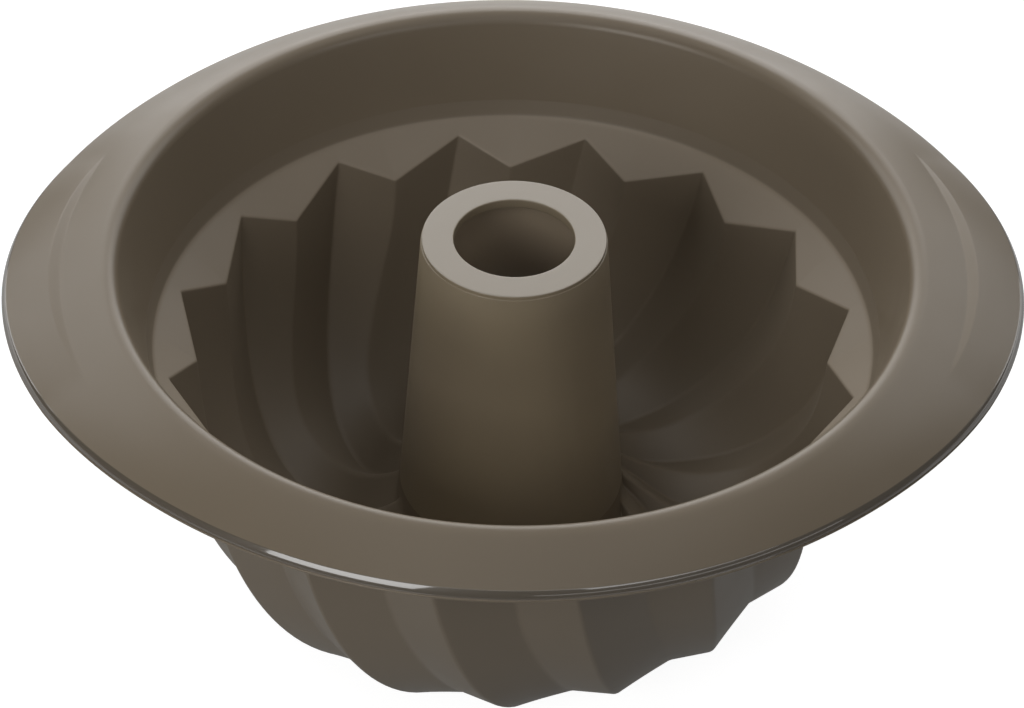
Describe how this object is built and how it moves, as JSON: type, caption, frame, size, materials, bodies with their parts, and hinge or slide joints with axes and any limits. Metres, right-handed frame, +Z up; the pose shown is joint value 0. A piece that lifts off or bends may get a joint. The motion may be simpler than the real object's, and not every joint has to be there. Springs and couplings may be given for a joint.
{
  "type": "ring cake mould",
  "caption": "Silicone kugelhopf mould: swirled fluted bowl with an open tapered chimney, smooth collar and a drooping brim widened into a grip on each side.",
  "frame": {"origin": "on the table under the chimney axis, at the level of the flute feet", "axes": "+Z up along the chimney axis, +X through the right grip, +Y to the back as the picture sees it"},
  "size_m": [0.2806, 0.2544, 0.1113],
  "materials": {
    "silicone": "satin, slightly glossy on the brim edge"
  },
  "bodies": {
    "root": {"brim": "silicone", "left_grip": "silicone", "right_grip": "silicone", "collar_wall": "silicone", "toothed_shoulder": "silicone", "fluted_wall": "silicone", "fluted_floor": "silicone", "chimney_tube": "silicone", "chimney_top_ring": "silicone"}
  },
  "joints": []
}
